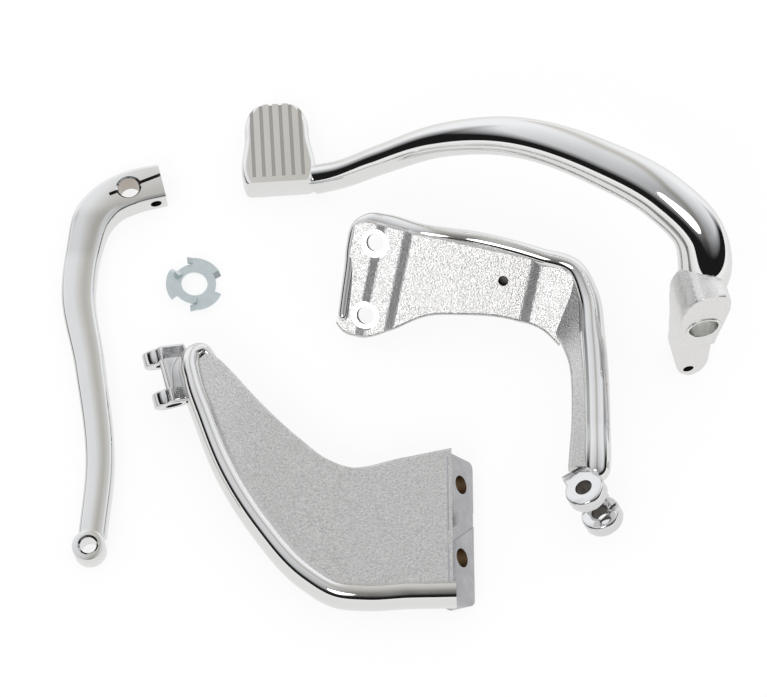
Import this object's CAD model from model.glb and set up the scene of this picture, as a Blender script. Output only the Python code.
import bpy
import bmesh
import math
import numpy as np
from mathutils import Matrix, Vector


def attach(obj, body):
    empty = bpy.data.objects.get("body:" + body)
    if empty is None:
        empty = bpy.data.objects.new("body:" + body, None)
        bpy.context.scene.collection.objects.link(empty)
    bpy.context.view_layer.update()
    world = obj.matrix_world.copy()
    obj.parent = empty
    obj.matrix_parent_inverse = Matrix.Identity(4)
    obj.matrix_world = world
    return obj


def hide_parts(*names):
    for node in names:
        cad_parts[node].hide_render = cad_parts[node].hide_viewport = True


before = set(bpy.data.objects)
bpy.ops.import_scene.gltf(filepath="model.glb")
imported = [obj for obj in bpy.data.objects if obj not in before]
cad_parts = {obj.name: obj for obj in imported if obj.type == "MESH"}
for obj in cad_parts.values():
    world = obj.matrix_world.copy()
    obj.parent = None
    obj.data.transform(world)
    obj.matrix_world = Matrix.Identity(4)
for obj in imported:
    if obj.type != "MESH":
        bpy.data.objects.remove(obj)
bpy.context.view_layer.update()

# lengths below are in millimetres until a mesh is made, angles in degrees
MM = 0.001
SHARP = 35
SHARP_PRISM = 50
UP = np.array([0, 0, 1.0])

# from the layout's own origin to the centre of the set
SET_SHIFT = np.array([4.186, 3.13, 0.0])


# small vector and curve helpers
def rot_x(deg):
    a = math.radians(deg)
    c, s = math.cos(a), math.sin(a)
    return np.array([[1, 0, 0], [0, c, -s], [0, s, c]])


def rot_y(deg):
    a = math.radians(deg)
    c, s = math.cos(a), math.sin(a)
    return np.array([[c, 0, s], [0, 1, 0], [-s, 0, c]])


def rot_z(deg):
    a = math.radians(deg)
    c, s = math.cos(a), math.sin(a)
    return np.array([[c, -s, 0], [s, c, 0], [0, 0, 1]])


def turn(yaw, pitch=0, roll=0):
    return rot_z(yaw) @ rot_y(pitch) @ rot_x(roll)


def unit(v):
    return v / (np.linalg.norm(v) + 1e-12)


def on_circle(radius, deg):
    a = math.radians(deg)
    return radius * math.cos(a), radius * math.sin(a)


def smooth(rows, count, reach=3):
    """Cubic curve through rows of numbers, at even steps of the distance in the first columns."""
    rows = np.array(rows, float)
    gaps = np.linalg.norm(np.diff(rows[:, :reach], axis=0), axis=1)
    knots = np.concatenate([[0], np.cumsum(gaps)])
    n = len(rows)
    slope = np.zeros_like(rows)
    for k in range(n):
        a, b = max(k - 1, 0), min(k + 1, n - 1)
        if 0 < k < n - 1:
            h0, h1 = knots[k] - knots[a], knots[b] - knots[k]
            d0, d1 = (rows[k] - rows[a]) / h0, (rows[b] - rows[k]) / h1
            slope[k] = (d0 * h1 + d1 * h0) / (h0 + h1)
        else:
            slope[k] = (rows[b] - rows[a]) / (knots[b] - knots[a])
    where = np.linspace(0, knots[-1], count)
    out = np.zeros((count, rows.shape[1]))
    for i, s in enumerate(where):
        k = min(int(np.searchsorted(knots, s, side="right")) - 1, n - 2)
        h = knots[k + 1] - knots[k]
        t = (s - knots[k]) / h
        out[i] = ((2 * t**3 - 3 * t**2 + 1) * rows[k] + (t**3 - 2 * t**2 + t) * h * slope[k]
                  + (-2 * t**3 + 3 * t**2) * rows[k + 1] + (t**3 - t**2) * h * slope[k + 1])
    return out


def step_along(path, i, width):
    """Unit step along a path at one of its points."""
    return unit(path[min(i + 1, len(path) - 1), :width] - path[max(i - 1, 0), :width])


def step_left(path, i):
    """Unit step to the left of a flat path at one of its points."""
    along = step_along(path, i, 2)
    return np.array([-along[1], along[0]])


def bent(at, stations, levels, round_off=2.5):
    """Level of a folded sheet with soft bends."""
    steps = np.linspace(-round_off, round_off, 9)
    return float(np.mean(np.interp(at + steps, stations, levels)))


# meshes
def soften(obj, angle):
    mesh = obj.data
    mesh.polygons.foreach_set("use_smooth", [True] * len(mesh.polygons))
    mesh.set_sharp_from_angle(angle=math.radians(angle))


def skin(name, rings, material, place=None, at=(0, 0, 0), sharp=SHARP, capped=True):
    """Skin over rings of points, each ring with the same count."""
    rings = np.asarray(rings, float)
    rows, count = rings.shape[:2]
    faces = []
    for i in range(rows - 1):
        here, there = i * count, (i + 1) * count
        for j in range(count):
            k = (j + 1) % count
            faces.append((here + j, here + k, there + k, there + j))
    if capped:
        faces.append(tuple(range(count - 1, -1, -1)))
        faces.append(tuple((rows - 1) * count + j for j in range(count)))
    points = rings.reshape(-1, 3)
    if place is not None:
        points = points @ np.asarray(place).T
    points = (points + np.asarray(at, float)) * MM
    mesh = bpy.data.meshes.new(name)
    mesh.from_pydata([tuple(p) for p in points], [], faces)
    mesh.materials.append(material)
    bm = bmesh.new()
    bm.from_mesh(mesh)
    bmesh.ops.remove_doubles(bm, verts=bm.verts, dist=1e-7)
    bmesh.ops.recalc_face_normals(bm, faces=bm.faces)
    bm.to_mesh(mesh)
    bm.free()
    obj = bpy.data.objects.new(name, mesh)
    bpy.context.scene.collection.objects.link(obj)
    soften(obj, sharp)
    return obj


def carve(obj, tools, sharp=SHARP):
    """Take closed tool meshes out of a piece; the new walls keep the tool's material."""
    for tool in tools:
        cut = obj.modifiers.new("cut", "BOOLEAN")
        cut.operation = "DIFFERENCE"
        cut.solver = "EXACT"
        cut.material_mode = "TRANSFER"
        cut.object = tool
    graph = bpy.context.evaluated_depsgraph_get()
    mesh = bpy.data.meshes.new_from_object(obj.evaluated_get(graph))
    obj.modifiers.clear()
    obj.data = mesh
    for tool in tools:
        bpy.data.objects.remove(tool)
    soften(obj, sharp)
    return obj


def drum(name, centre, axis, profile, material, count=64):
    """Turned piece: profile rows are (radius, distance along the axis), and a closed profile is a sleeve."""
    axis = unit(np.array(axis, float))
    side = unit(np.cross(axis, [0.3, 0.9, 0.1]))
    other = np.cross(axis, side)
    angles = np.linspace(0, 2 * math.pi, count, endpoint=False)
    circle = np.cos(angles)[:, None] * side + np.sin(angles)[:, None] * other
    rings = [np.array(centre) + axis * h + circle * r for r, h in profile]
    return skin(name, rings, material, capped=profile[0] != profile[-1])


def drill(centre, axis, radius, low, high, material, count=64):
    """Round cutting tool between two distances along an axis."""
    return drum("drill", centre, axis, [(radius, low), (radius, high)], material, count)


def block(place, origin, low, high, material):
    """Box-shaped cutting tool between two corners in a turned frame."""
    x0, y0, z0 = low
    x1, y1, z1 = high
    rings = [[(x0, y0, z), (x1, y0, z), (x1, y1, z), (x0, y1, z)] for z in (z0, z1)]
    return skin("block", rings, material, place, origin)


# materials
def add_node(tree, kind, inputs=None, **settings):
    """New node with its settings, its inputs given as values or as sockets to link."""
    node = tree.nodes.new(kind)
    for key, value in settings.items():
        setattr(node, key, value)
    for key, value in (inputs or {}).items():
        if isinstance(value, bpy.types.NodeSocket):
            tree.links.new(value, node.inputs[key])
        else:
            node.inputs[key].default_value = value
    return node


def metal(name, colour, rough, grain=60.0, grain_share=0.06, rough_share=0.03):
    """Plated metal with faint cloudy variation."""
    material = bpy.data.materials.new(name)
    material.use_nodes = True
    tree = material.node_tree
    shader = tree.nodes["Principled BSDF"]
    shader.inputs["Metallic"].default_value = 1.0
    coord = add_node(tree, "ShaderNodeTexCoord")
    noise = add_node(tree, "ShaderNodeTexNoise",
                     {"Scale": grain, "Detail": 3, "Vector": coord.outputs["Object"]})
    low = [c * (1 - grain_share) for c in colour]
    tint = add_node(tree, "ShaderNodeMix",
                    {"A": (*low, 1), "B": (*colour, 1), "Factor": noise.outputs["Fac"]}, data_type="RGBA")
    tree.links.new(tint.outputs["Result"], shader.inputs["Base Color"])
    haze = add_node(tree, "ShaderNodeMapRange",
                    {"To Min": rough, "To Max": rough + rough_share, "Value": noise.outputs["Fac"]})
    tree.links.new(haze.outputs["Result"], shader.inputs["Roughness"])
    return material


def pebbled(name, colour, rough, scale, depth, strength, share=0.45):
    """Plated casting skin: small pebbles that sparkle."""
    material = metal(name, colour, rough, 800.0, share, 0.1)
    tree = material.node_tree
    coord = tree.nodes["Texture Coordinate"]
    grain = add_node(tree, "ShaderNodeTexNoise",
                     {"Scale": scale, "Detail": 2, "Vector": coord.outputs["Object"]})
    bump = add_node(tree, "ShaderNodeBump",
                    {"Strength": strength, "Distance": depth, "Height": grain.outputs["Fac"]})
    tree.links.new(bump.outputs["Normal"], tree.nodes["Principled BSDF"].inputs["Normal"])
    return material


CHROME = metal("polished_chrome", (0.86, 0.86, 0.85), 0.03)
CAST = pebbled("pebbled_chrome", (0.93, 0.92, 0.91), 0.26, 1000.0, 0.0008, 0.4)
PALE = pebbled("pale_casting", (0.98, 0.97, 0.96), 0.3, 700.0, 0.0008, 0.4, 0.2)
SPARK = pebbled("sparkling_chrome", (0.97, 0.96, 0.95), 0.24, 1000.0, 0.0008, 0.45, 0.6)
FACE = metal("machined_face", (0.58, 0.58, 0.6), 0.16, 160.0, 0.35, 0.1)
ZINC = metal("zinc_plate", (0.72, 0.8, 0.82), 0.3, 200.0, 0.15, 0.1)
BUSH = metal("bright_bush", (0.9, 0.9, 0.88), 0.25)
DEEP = metal("hole_wall", (0.12, 0.11, 0.1), 0.45)
BORE = metal("bore_wall", (0.5, 0.45, 0.4), 0.25)
BRONZE = metal("bolt_hole_wall", (0.36, 0.27, 0.18), 0.4)
GROOVE = metal("pad_groove", (0.52, 0.51, 0.5), 0.15)
EAR = metal("ear_chrome", (0.8, 0.8, 0.8), 0.06)


# shared shapes
def rounded_ring(half, low, high, radius, corner=5):
    """Rounded box section: points across and up, with a thin margin beside each rounded edge."""
    points = []
    x = half - radius
    gap = 0.12 * radius
    top, foot = high - radius, low + radius
    corners = ((x, top, 0), (-x, top, 90), (-x, foot, 180), (x, foot, 270))
    for cx, cz, start in corners:
        arc = []
        for a in np.linspace(start, start + 90, corner):
            dx, dz = on_circle(radius, a)
            arc.append((cx + dx, cz + dz))
        before, after = on_circle(gap, start + 270), on_circle(gap, start + 180)
        points.append((arc[0][0] + before[0], arc[0][1] + before[1]))
        points += arc
        points.append((arc[-1][0] + after[0], arc[-1][1] + after[1]))
    return np.array(points)


def stand(ring, along, side):
    """Section points stood across a straight axis."""
    return np.column_stack([np.full(len(ring), along), side + ring[:, 0], ring[:, 1]])


def tube(name, rows, at, count, sides=56, low_end=True):
    """Polished oval rail through rows of x, y, z, half height and half width, with rounded ends."""
    path = smooth(rows, count)
    rings = []
    around = np.linspace(0, 2 * math.pi, sides, endpoint=False)
    spans = np.concatenate([[0], np.cumsum(np.linalg.norm(np.diff(path[:, :3], axis=0), axis=1))])
    for i, (x, y, z, tall, wide) in enumerate(path):
        along = step_along(path, i, 3)
        side = unit(np.cross(along, UP))
        up = np.cross(side, along)
        shrink = 1.0
        for rounded, far in ((low_end, spans[i]), (True, spans[-1] - spans[i])):
            if rounded and far < wide:
                shrink = min(shrink, math.sqrt(max(0.02, 1 - (1 - far / wide) ** 2)))
        rings.append(np.array([x, y, z]) + np.outer(np.cos(around) * wide * shrink, side)
                     + np.outer(np.sin(around) * tall * shrink, up))
    return skin(name, rings, CHROME, None, at)


def prism(name, outline_at, low, high, bevel, place, at, material):
    """Upright slice of an outline with bevelled rims; the outline is asked for its inset."""
    steps = [(low, bevel), (low + 0.3 * bevel, 0.3 * bevel), (low + bevel, 0), (high - bevel, 0),
             (high - 0.3 * bevel, 0.3 * bevel), (high, bevel)]
    rings = [[(x, y, z) for x, y in outline_at(inset)] for z, inset in steps]
    return skin(name, rings, material, place, at, SHARP_PRISM)


def ear_outline(radius, half, root):
    """Round-nosed tongue that ends square at its root."""
    def points(inset):
        r, h = radius - inset, half - inset
        edge = math.degrees(math.asin(h / r))
        arc = [on_circle(r, a) for a in np.linspace(-180 + edge, 180 - edge, 49)]
        return arc + [(-root + inset, h), (-root + inset, -h)]
    return points


def plain_outline(x0, x1, half, corner):
    """Rectangle with rounded corners."""
    corners = ((x1 - corner, half - corner, 0), (x0 + corner, half - corner, 90),
               (x0 + corner, -half + corner, 180), (x1 - corner, -half + corner, 270))

    def points(inset):
        out = []
        for cx, cy, start in corners:
            for a in np.linspace(start, start + 90, 7):
                dx, dy = on_circle(corner - inset, a)
                out.append((cx + dx, cy + dy))
        return out
    return points


CLEVIS_HALF_SLOT = 7.75
CLEVIS_EAR = 9.0
CLEVIS_NOSE = 11.5
CLEVIS_PIN = 5
CLEVIS_REACH = 40


def clevis(side, place, at, root, slot):
    """Two pierced ears on one root."""
    half = 0.75 * CLEVIS_NOSE
    outer = CLEVIS_HALF_SLOT + CLEVIS_EAR
    made = []
    for tag, low in (("upper", CLEVIS_HALF_SLOT), ("lower", -outer)):
        outline = ear_outline(CLEVIS_NOSE, half, root)
        ear = prism("%s_ear_%s" % (side, tag), outline, low, low + CLEVIS_EAR, 1.2, place, at, EAR)
        pin_hole = drill(at, place @ UP, CLEVIS_PIN, -CLEVIS_REACH, CLEVIS_REACH, DEEP)
        made.append(carve(ear, [pin_hole], SHARP_PRISM))
    outline = plain_outline(-root, -slot, half, 1.2)
    made.append(prism("%s_ear_root" % side, outline, -outer, outer, 1.0, place, at, EAR))
    return made


def settle(pieces, node):
    """Hang the drawn pieces on the set in place of one node."""
    for piece in pieces:
        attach(piece, "root")
    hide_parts(node)


# shift lever: rows of x, y and half width from the clamp's centre to the peg boss
LEVER_AT = np.array([-161.0, 102.5, 0.0]) + SET_SHIFT
LEVER_ROWS = [
    (20, 5.5, 12), (0, 0, 12.4), (-11.5, -6.5, 12), (-21, -18, 11.9), (-26, -38, 10.6), (-28, -66, 10.2),
    (-18.4, -116, 9), (-9.2, -179, 8.3), (-11.2, -222, 8),
]
LEVER_STEPS = 220
LEVER_EDGE = 2.0
LEVER_CROWN = 0.9
LEVER_BARREL = 26
HEAD_TALL, ARM_TALL = 16, 11.5
RAMP_FOOT, RAMP_TOP = -44, -16


def lever_ring(half, top):
    """Rounded box section with extra points over its top."""
    ring = rounded_ring(half, 0, top, min(LEVER_EDGE, top / 2), 7)
    flat = half - 1.3 * LEVER_EDGE
    over = [(u, top) for u in np.linspace(flat, -flat, 9)]
    return np.array([*ring[:9], *over, *ring[9:]])


def lever_top(y):
    return bent(y, [-300, RAMP_FOOT, RAMP_TOP, 60], [ARM_TALL, ARM_TALL, HEAD_TALL, HEAD_TALL], 3)


path = smooth(LEVER_ROWS, LEVER_STEPS, 2)
rings = []
for i, (x, y, half) in enumerate(path):
    left = step_left(path, i)
    ring = []
    for k, (u, _) in enumerate(lever_ring(half, 1)):
        top = lever_top(y + left[1] * u)
        u, z = lever_ring(half, top)[k]
        u *= math.sqrt(max(0.0, 1 - ((z - top / 2) / LEVER_BARREL) ** 2))
        z -= LEVER_CROWN * (u / half) ** 2 * (z > top / 2)
        ring.append((x + left[0] * u, y + left[1] * u, z))
    rings.append(ring)
lever = skin("lever_bar", rings, CHROME, None, LEVER_AT)

# clamp bore with a lead at each end, slit and pinch bolt hole
CLAMP_BORE = 6.6
LEAD_TOP, LEAD_LOW = 1.3, 1.1
SLIT = turn(24)
SLIT_HALF = 1.1
SLIT_END = -12.6
PINCH_BORE = 3.4
PINCH_OUT = 12
carve(lever, [
    drill(LEVER_AT, UP, CLAMP_BORE, -1, HEAD_TALL + 1, BORE),
    drum("lead", LEVER_AT, UP, [(CLAMP_BORE, HEAD_TALL - LEAD_TOP),
                                (CLAMP_BORE + 2 * LEAD_TOP, HEAD_TALL + LEAD_TOP)], CHROME),
    drum("lead", LEVER_AT, UP, [(CLAMP_BORE + 2 * LEAD_LOW, -LEAD_LOW), (CLAMP_BORE, LEAD_LOW)], CHROME),
    block(SLIT, LEVER_AT, (3, -SLIT_HALF, -1), (40, SLIT_HALF, HEAD_TALL + 2), DEEP),
    block(SLIT, LEVER_AT, (SLIT_END, -SLIT_HALF, -1), (-3, SLIT_HALF, HEAD_TALL + 2), DEEP),
    drill(LEVER_AT + SLIT @ np.array([PINCH_OUT, 0, HEAD_TALL / 2]), SLIT @ np.array([0, 1, 0]),
          PINCH_BORE, -30, 30, DEEP),
])

# peg boss
BOSS_AT = LEVER_AT + np.array([-12.5, -229.8, 0])
BOSS_OUT, BOSS_TALL, PEG_BORE = 9.4, 14, 4.75
boss = drum("lever_boss", BOSS_AT, UP, [
    (PEG_BORE + 1, 0), (BOSS_OUT - 1, 0), (BOSS_OUT - 0.3, 0.3), (BOSS_OUT, 1), (BOSS_OUT, BOSS_TALL - 1),
    (BOSS_OUT - 0.3, BOSS_TALL - 0.3), (BOSS_OUT - 1, BOSS_TALL), (PEG_BORE + 1.15, BOSS_TALL),
    (PEG_BORE, BOSS_TALL - 1.1), (PEG_BORE, 1), (PEG_BORE + 1, 0),
], CHROME)
settle([lever, boss], "shift_lever")


# brake pedal arm: rows of distance along the bow, rise, half width and half thickness
PEDAL_AT = np.array([174.5, -3.5, 1.53]) + SET_SHIFT
HUB_AT = PEDAL_AT + np.array([0, 0, 65.0])
BOW = turn(-33.7, 0, -27)
ARM_ROWS = [
    (-247, -62, 9.2, 8), (-234, -50, 8.8, 8), (-210, -22, 9, 8.2), (-179, 12, 10, 9),
    (-133.5, 42.5, 12, 10.5), (-83, 54.7, 14, 11.5), (-45, 55.5, 15, 12), (-17, 45, 15.4, 12.2),
    (-5.5, 24, 15, 12.5), (-4.5, 8, 11, 10),
]
path = smooth(ARM_ROWS, 240, 2)
angles = np.linspace(0, 2 * math.pi, 96, endpoint=False)
rings = []
for i, (along, rise, wide, thick) in enumerate(path):
    out = step_left(path, i)
    across = wide * np.cos(angles)
    rings.append(np.column_stack([along + out[0] * across, thick * np.sin(angles), rise + out[1] * across]))
arm = skin("pedal_arm", rings, CHROME, BOW, HUB_AT)

# pear-shaped hub: rows of distance down from the bush, side step and half width
HUB = turn(-79, 85, 0)
HUB_AXIS = HUB @ UP
HUB_BACK, HUB_FRONT, EAR_FRONT = -13, 13, 8
HUB_STEP = (22, 25)
HUB_BORE = 10.25
EAR_BORE = 3.2
EAR_AT = HUB_AT + HUB @ np.array([57, -1.5, 0])
HUB_REACH = 40
PEAR_ROWS = [
    (-34, 1, 4.5), (-32.5, 1, 7.4), (-29, 1, 10.4), (-18, 0, 14), (-4, -0.6, 13.4), (20, -1, 10.6),
    (42, 0, 9.9), (57, 0.6, 8.7), (62.5, 0.8, 6.2), (65.2, 0.8, 3),
]
rings = []
for down, side, half in smooth(PEAR_ROWS, 160, 1):
    front = bent(down, [-60, *HUB_STEP, 90], [HUB_FRONT, HUB_FRONT, EAR_FRONT, EAR_FRONT], 1.2)
    rings.append(stand(rounded_ring(half, HUB_BACK, front, min(1.6, 0.5 * half)), down, side))
pear = skin("pedal_hub", rings, PALE, HUB, HUB_AT)
carve(pear, [
    drill(HUB_AT, HUB_AXIS, HUB_BORE, -HUB_REACH, HUB_REACH, DEEP),
    drill(EAR_AT, HUB_AXIS, EAR_BORE, -HUB_REACH, HUB_REACH, DEEP, 32),
])
carve(arm, [drill(HUB_AT, HUB_AXIS, HUB_BORE, -HUB_REACH, HUB_REACH, DEEP)])

# bush, proud of the hub's face
BUSH_BORE, BUSH_OUT, BUSH_FRONT, BUSH_EDGE = 8.5, 10.2, 13.6, 0.3
bush = drum("pedal_bush", HUB_AT, HUB_AXIS, [
    (BUSH_BORE, HUB_BACK), (BUSH_OUT, HUB_BACK), (BUSH_OUT, BUSH_FRONT - BUSH_EDGE),
    (BUSH_OUT - BUSH_EDGE, BUSH_FRONT), (BUSH_BORE + BUSH_EDGE, BUSH_FRONT),
    (BUSH_BORE, BUSH_FRONT - BUSH_EDGE), (BUSH_BORE, HUB_BACK),
], BUSH)

# foot pad at the arm's toe: rows of shares of its length, width and height
toe_along, toe_rise = ARM_ROWS[0][:2]
PAD_AT = HUB_AT + BOW @ np.array([toe_along, 0, toe_rise]) + np.array([-21.9, -7.6, -9.8])
PAD = turn(4, 0, -4)
PAD_LONG, PAD_WIDE, PAD_TALL = 57, 43, 19
PAD_EDGE = 3.0
PAD_ROWS = [
    (0, 0.92, 0.88), (0.02, 0.96, 0.95), (0.06, 1, 1), (0.55, 0.93, 0.9), (0.82, 0.86, 0.82),
    (0.93, 0.72, 0.72), (0.985, 0.56, 0.58), (1, 0.45, 0.5),
]
FULLEST = 0.96
GROOVES, GROOVE_STEP, GROOVE_HALF, GROOVE_DEEP = 6, 6, 1.1, 1.4
GROOVE_START, GROOVE_END = 4, 60
rings = []
for share, wide, tall in smooth(PAD_ROWS, 90, 1):
    ring = rounded_ring(wide * PAD_WIDE / 2, PAD_TALL - min(tall, FULLEST) * PAD_TALL, PAD_TALL, PAD_EDGE, 7)
    rings.append(np.column_stack([ring[:, 0], np.full(len(ring), share * PAD_LONG), ring[:, 1]]))
pad = skin("pedal_pad", rings, CHROME, PAD, PAD_AT)
tools = []
for k in range(GROOVES):
    middle = (k - (GROOVES - 1) / 2) * GROOVE_STEP
    tools.append(block(PAD, PAD_AT, (middle - GROOVE_HALF, GROOVE_START, PAD_TALL - GROOVE_DEEP),
                       (middle + GROOVE_HALF, GROOVE_END, PAD_TALL + 3), GROOVE))
carve(pad, tools)
settle([arm, pear, pad], "brake_pedal")
settle([bush], "pedal_bushing")


# right support, plate: rows of distance along the sheet, side step and half width
RIGHT_AT = np.array([84.0, 28.0, 6.38]) + SET_SHIFT
SHEET = turn(-14, 0, 36)
SHEET_AT = RIGHT_AT + np.array([-49.5, 5.6, 32.8])
SHEET_UP = SHEET @ UP
SHEET_THICK = 8
SHEET_EDGE = 1.8
RIGHT_ROWS = [
    (-60.5, -14.5, 31.5), (-56, -15.2, 34.4), (-48, -15.7, 35.3), (-38, -14.2, 34.2), (-25.5, -10.3, 30.2),
    (-10, -4.7, 24.8), (12, -1.6, 21.6), (45, 0, 19.8), (62, -2, 20.8), (72, -7, 22),
]
# two small steps by the bolts, one step down before the arm
RIGHT_FOLDS = [-90, -47.5, -43, -30.5, -26, 46.5, 51.5, 100]
RIGHT_LEVELS = [-6, -6.2, -3.2, -2.7, 0.3, -2.4, -4.8, -1]
rings = []
for along, side, half in smooth(RIGHT_ROWS, 150, 1):
    level = bent(along, RIGHT_FOLDS, RIGHT_LEVELS, 1.2)
    rings.append(stand(rounded_ring(half, level, level + SHEET_THICK, SHEET_EDGE), along, side))
right_plate = skin("right_plate", rings, CAST, SHEET, SHEET_AT)

# bolt holes with spot-faced seats, and the rough drilled mark
BOLT_AXIS = np.array([-0.1527, -0.4642, 0.8725])
BOLT_SPOTS = np.array([[-4.789, 55.857, 39.437], [-11.624, 17.495, 18.976]])
BOLT_BORE = 5.5
SEAT_OUT, SEAT_LEVEL = 8.5, 1.4
MARK_AT = SHEET_AT + SHEET @ np.array([31.9, 2.4, 0])
MARK_BORE, MARK_FLOOR = 3, -0.8
PLATE_REACH = 30
tools = []
for spot in BOLT_SPOTS:
    tools.append(drill(spot, BOLT_AXIS, BOLT_BORE, -PLATE_REACH, PLATE_REACH, DEEP))
    seat = spot + SHEET_UP * float((SHEET_AT + SHEET_UP * SEAT_LEVEL - spot) @ SHEET_UP)
    tools.append(drill(seat, SHEET_UP, SEAT_OUT, 0, PLATE_REACH, CHROME))
tools.append(drill(MARK_AT, SHEET_UP, MARK_BORE, MARK_FLOOR, PLATE_REACH, DEEP))
carve(right_plate, tools)

# right support, arm: rows of x, y, z, yaw, bank, roll, width and thickness
RIGHT_ARM_ROWS = [
    (15.5, -9.5, 31.5, 72, -36, 89, 40, 7), (22.5, -21, 31.6, 56, -36, 90, 36, 8),
    (27, -35, 31.8, 33, -31, 90, 27.5, 9), (29.6, -52.3, 31, 8, -22, 91, 21.3, 10),
    (30.1, -82.6, 29.5, 2, -11, 90, 21.5, 10), (27.7, -117.1, 27, -5, -5, 92, 23.2, 11),
]
RIGHT_ARM_STEPS = 70
rows = []
for x, y, z, yaw, bank, roll, wide, thick in RIGHT_ARM_ROWS:
    ring = rounded_ring(wide / 2, -thick / 2, thick / 2, SHEET_EDGE)
    section = np.column_stack([ring, np.zeros(len(ring))]) @ turn(yaw, bank, roll).T + np.array([x, y, z])
    rows.append(np.concatenate([[x, y, z], section.ravel()]))
rings = smooth(rows, RIGHT_ARM_STEPS)[:, 3:].reshape(RIGHT_ARM_STEPS, -1, 3)
right_arm = skin("right_arm", rings, CAST, None, RIGHT_AT)

right_rail = tube("right_rail", [
    (-113.5, -16, 10, 3.4, 3), (-111.5, -3, 17, 3.6, 3.2), (-109, 12, 25.3, 3.8, 3.4),
    (-107.4, 24, 32, 4, 3.6), (-104, 33, 36.6, 4.6, 4), (-97, 36, 39, 5.2, 4.4),
    (-88.1, 34.2, 40.3, 5.6, 4.8), (-67.4, 25.3, 45, 6, 5),
    (-32.1, 19.4, 45, 6, 5), (3, 8.9, 45, 6.2, 5.2), (22.4, 2.5, 42, 7, 5.8), (29.9, -12, 37, 8, 7),
    (32.2, -36, 33, 8.8, 7.8), (33.2, -63.3, 30, 9.2, 8.2), (32.9, -90.6, 28, 9.4, 8.3),
    (32.1, -116, 26, 9.6, 8.3), (31.6, -124, 23.5, 8.6, 7.6),
], RIGHT_AT, 320)
RIGHT_PIN_AT = RIGHT_AT + np.array([30.8, -136.0, 21.7])
right_ears = clevis("right", turn(-72.5, -25.7, 19), RIGHT_PIN_AT, 16, 10.5)
settle([right_plate, right_arm, right_rail] + right_ears, "right_peg_support")


# left support, plate: rows of x, y, heading and half width
LEFT_AT = np.array([-40.0, -120.0, 5.8]) + SET_SHIFT
LEFT_ROWS = [
    (74, 2.7, 0, 43.6), (45, 0.2, 0, 40.6), (16, -1.6, 0, 37.4), (0, 5.4, -3, 36), (-17, 21.6, -10, 31),
    (-46.5, 56, -22, 23), (-61, 83.5, -32, 13.4), (-66.5, 94, -36, 9.4), (-70.5, 102, -42, 4.5),
]
LEFT_HALF_THICK = 4.5
LEFT_EDGE = 1.6
LEFT_FOLDS = [-110, -47, -17, 17, 95]
LEFT_LEVELS = [27, 12.4, 10.9, 11, 16]
rings = []
for x, y, heading, half in smooth(LEFT_ROWS, 150, 2):
    across = turn(heading) @ np.array([0, 1.0, 0])
    ring = rounded_ring(half, -LEFT_HALF_THICK, LEFT_HALF_THICK, LEFT_EDGE)
    points = np.array([x, y, 0]) + np.outer(ring[:, 0], across)
    levels = np.array([bent(p[0], LEFT_FOLDS, LEFT_LEVELS) for p in points])
    points[:, 2] = levels + LEFT_HALF_THICK + ring[:, 1]
    rings.append(points)
left_plate = skin("left_plate", rings, SPARK, None, LEFT_AT)

left_rail = tube("left_rail", [
    (76, -38.5, 14, 12.5, 7.5), (64, -38.6, 13.5, 12.5, 7.5), (50, -38.7, 13, 12.5, 7.5),
    (25.1, -39.9, 13, 12.5, 7.5), (8.7, -38.1, 13, 12.5, 7.5), (-7.8, -28.1, 13, 12.5, 7.6),
    (-34.5, 1.8, 13.6, 12.5, 7.6), (-53.7, 32.3, 15.2, 12.5, 7.6), (-68, 66.2, 17.6, 12.5, 7.4),
    (-75.7, 87.9, 19.4, 12.5, 7.2), (-77.6, 99, 20.3, 11.5, 7), (-75.6, 105, 20.4, 10, 6),
    (-70.5, 107.5, 20.2, 8, 4.4), (-66.2, 104, 19.8, 6, 3.2), (-62.6, 97.5, 19, 4.4, 2.4),
], LEFT_AT, 240, 72, False)

# mounting face with two bolt holes and a slanting groove
FLANGE = turn(0, 53, 0)
FLANGE_AT = LEFT_AT + np.array([79.5, 0.3, 14])
FLANGE_HALF_WIDE, FLANGE_HALF_LONG, FLANGE_DEEP, FLANGE_CORNER = 12.7, 43.5, 16, 4
FACE_BOLT_SHIFT, FACE_BOLT_HALF_SPAN = 4.5, 22
FACE_GROOVE_HALF, FACE_GROOVE_DEEP, FACE_GROOVE_SLANT = 3.5, 0.8, 35
outline = plain_outline(-FLANGE_HALF_WIDE, FLANGE_HALF_WIDE, FLANGE_HALF_LONG, FLANGE_CORNER)
left_face = prism("left_face", outline, -FLANGE_DEEP, 0, 1.0, FLANGE, FLANGE_AT, FACE)
for side in (1, -1):
    spot = FLANGE_AT + FLANGE @ np.array([0, FACE_BOLT_SHIFT + side * FACE_BOLT_HALF_SPAN, 0])
    carve(left_face, [drill(spot, FLANGE @ UP, BOLT_BORE, -40, 20, BRONZE)], SHARP_PRISM)
groove = block(FLANGE @ turn(FACE_GROOVE_SLANT), FLANGE_AT, (-30, -FACE_GROOVE_HALF, -FACE_GROOVE_DEEP),
               (30, FACE_GROOVE_HALF, 10), FACE)
carve(left_face, [groove], SHARP_PRISM)
LEFT_PIN_AT = LEFT_AT + np.array([-91.9, 94.0, 13.0])
left_ears = clevis("left", turn(175.7, 53.1, -113.7), LEFT_PIN_AT, 13, 7.5)
settle([left_plate, left_rail, left_face] + left_ears, "left_peg_support")

# lock washer keeps its own solid
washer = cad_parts["lock_washer"]
washer.data.materials.clear()
washer.data.materials.append(ZINC)


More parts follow.
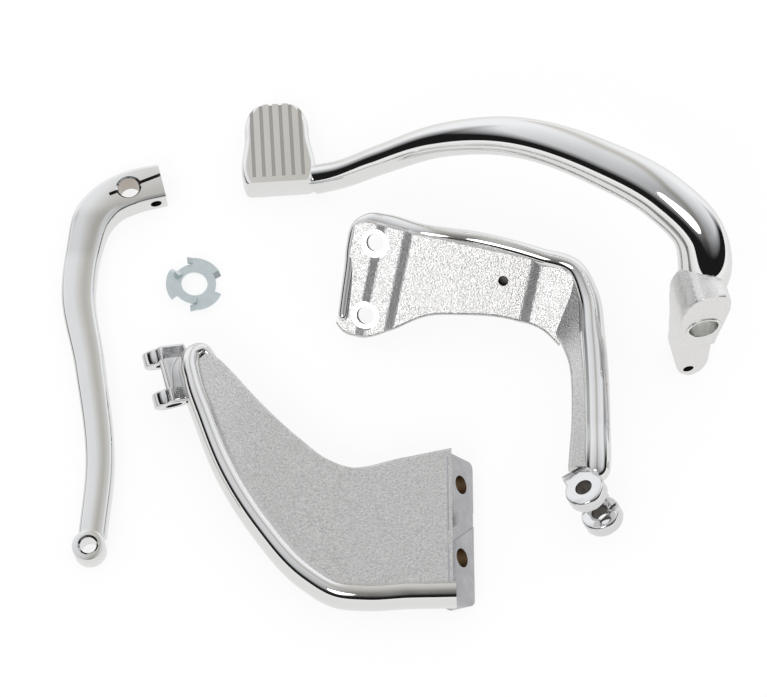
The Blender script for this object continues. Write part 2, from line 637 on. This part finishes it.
# white floor that keeps a soft shadow
def floor_material():
    material = bpy.data.materials.new("floor")
    material.use_nodes = True
    tree = material.node_tree
    tree.nodes.remove(tree.nodes["Principled BSDF"])
    plain = add_node(tree, "ShaderNodeBsdfDiffuse", {"Color": (0.95, 0.95, 0.95, 1)})
    ray = add_node(tree, "ShaderNodeLightPath")
    share = add_node(tree, "ShaderNodeMath", {0: ray.outputs["Is Camera Ray"], 1: 0.84}, operation="MULTIPLY")
    both = add_node(tree, "ShaderNodeMath", {0: share.outputs[0], 1: ray.outputs["Is Glossy Ray"]},
                    operation="MAXIMUM")
    # reflections of the floor are a little darker under the set than far from it
    coord = add_node(tree, "ShaderNodeTexCoord")
    length = add_node(tree, "ShaderNodeVectorMath", {0: coord.outputs["Object"]}, operation="LENGTH")
    fade = add_node(tree, "ShaderNodeMapRange", {
        "From Min": 0.2, "From Max": 0.9, "To Min": 0.85, "To Max": 1.0, "Value": length.outputs["Value"]})
    bright = add_node(tree, "ShaderNodeMath", {0: fade.outputs["Result"], 1: ray.outputs["Is Camera Ray"]},
                      operation="MAXIMUM")
    glow = add_node(tree, "ShaderNodeEmission", {"Strength": bright.outputs[0]})
    mix = add_node(tree, "ShaderNodeMixShader",
                   {"Fac": both.outputs[0], 1: plain.outputs[0], 2: glow.outputs[0]})
    tree.links.new(mix.outputs[0], tree.nodes["Material Output"].inputs["Surface"])
    return material


FLOOR_HALF = 6.0
floor_corners = [(-FLOOR_HALF, -FLOOR_HALF, 0), (FLOOR_HALF, -FLOOR_HALF, 0), (FLOOR_HALF, FLOOR_HALF, 0),
                 (-FLOOR_HALF, FLOOR_HALF, 0)]
floor_mesh = bpy.data.meshes.new("floor")
floor_mesh.from_pydata(floor_corners, [], [(0, 1, 2, 3)])
floor_mesh.materials.append(floor_material())
floor = bpy.data.objects.new("floor", floor_mesh)
bpy.context.scene.collection.objects.link(floor)

# studio: greys that rise toward the far side, warmer in the middle, as mirrors see them
SKY_STOPS = [(0.0, 0.1), (0.08, 0.2), (0.2, 0.3), (0.36, 0.42), (0.53, 0.6), (0.7, 0.74), (0.85, 0.84),
             (1.0, 0.97)]
WARM_MIDDLE = (0.74, 0.72, 0.68, 1)
COOL_SIDES = (1.05, 1.06, 1.09, 1)
DARK_ROOM = (0.012, 0.012, 0.012, 1)
world = bpy.data.worlds.new("studio")
bpy.context.scene.world = world
world.use_nodes = True
sky = world.node_tree
coord = add_node(sky, "ShaderNodeTexCoord")
split = add_node(sky, "ShaderNodeSeparateXYZ", {0: coord.outputs["Generated"]})
aside = add_node(sky, "ShaderNodeMath", {0: split.outputs["X"]}, operation="ABSOLUTE")
spread = add_node(sky, "ShaderNodeMath", {0: aside.outputs[0], 1: 0.6, 2: split.outputs["Y"]},
                  operation="MULTIPLY_ADD")
reach = add_node(sky, "ShaderNodeMapRange", {"From Min": -1, "From Max": 1, "Value": spread.outputs[0]})
ramp = add_node(sky, "ShaderNodeValToRGB", {"Fac": reach.outputs["Result"]})
for end, (where, grey) in ((0, SKY_STOPS[0]), (1, SKY_STOPS[-1])):
    ramp.color_ramp.elements[end].position = where
    ramp.color_ramp.elements[end].color = (grey, grey, grey, 1)
for where, grey in SKY_STOPS[1:-1]:
    ramp.color_ramp.elements.new(where).color = (grey, grey, grey, 1)
middle = add_node(sky, "ShaderNodeMapRange", {"From Min": 0.03, "From Max": 0.22, "Value": aside.outputs[0]})
tint = add_node(sky, "ShaderNodeMix", {"A": WARM_MIDDLE, "B": COOL_SIDES, "Factor": middle.outputs["Result"]},
                data_type="RGBA")
toned = add_node(sky, "ShaderNodeMix",
                 {"Factor": 1.0, "A": ramp.outputs["Color"], "B": tint.outputs["Result"]},
                 data_type="RGBA", blend_type="MULTIPLY")
# dark room beyond the table, low on every side but the far one
height = add_node(sky, "ShaderNodeMapRange", {"From Min": 0.3, "From Max": 0.56, "Value": split.outputs["Z"]})
far_side = add_node(sky, "ShaderNodeMapRange",
                    {"From Min": 0.1, "From Max": 0.6, "Value": split.outputs["Y"]})
lit = add_node(sky, "ShaderNodeMath", {0: height.outputs["Result"], 1: far_side.outputs["Result"]},
               operation="MAXIMUM")
room = add_node(sky, "ShaderNodeMix",
                {"A": DARK_ROOM, "B": toned.outputs["Result"], "Factor": lit.outputs[0]}, data_type="RGBA")
ray = add_node(sky, "ShaderNodeLightPath")
pick = add_node(sky, "ShaderNodeMix",
                {"A": (1, 1, 1, 1), "B": room.outputs["Result"], "Factor": ray.outputs["Is Glossy Ray"]},
                data_type="RGBA")
back = sky.nodes["Background"]
sky.links.new(pick.outputs["Result"], back.inputs["Color"])
back.inputs["Strength"].default_value = 1.0

# soft key lamp, from where the right plate's face looks
KEY_FROM = Vector((-0.276, -0.70, 0.657))
lamp_data = bpy.data.lights.new("key", "SUN")
lamp_data.energy = 0.5
lamp_data.angle = math.radians(25)
lamp = bpy.data.objects.new("key", lamp_data)
lamp.rotation_euler = KEY_FROM.to_track_quat("Z", "Y").to_euler()
bpy.context.scene.collection.objects.link(lamp)

# camera at the photograph's viewing angle; its focal length was fitted in pixels
PICTURE_WIDE = 767
FOCAL_PIXELS = 2190
SENSOR_WIDE = 36
CAMERA_AT = np.array([-5, -533, 1200]) + SET_SHIFT
CAMERA_TILT = 24
camera_data = bpy.data.cameras.new("camera")
camera_data.sensor_fit = "HORIZONTAL"
camera_data.sensor_width = SENSOR_WIDE
camera_data.lens = FOCAL_PIXELS / PICTURE_WIDE * SENSOR_WIDE
camera_data.clip_end = 50
camera = bpy.data.objects.new("camera", camera_data)
camera.location = CAMERA_AT * MM
camera.rotation_euler = (math.radians(CAMERA_TILT), 0, 0)
bpy.context.scene.collection.objects.link(camera)
bpy.context.scene.camera = camera
bpy.context.scene.view_settings.view_transform = "Standard"
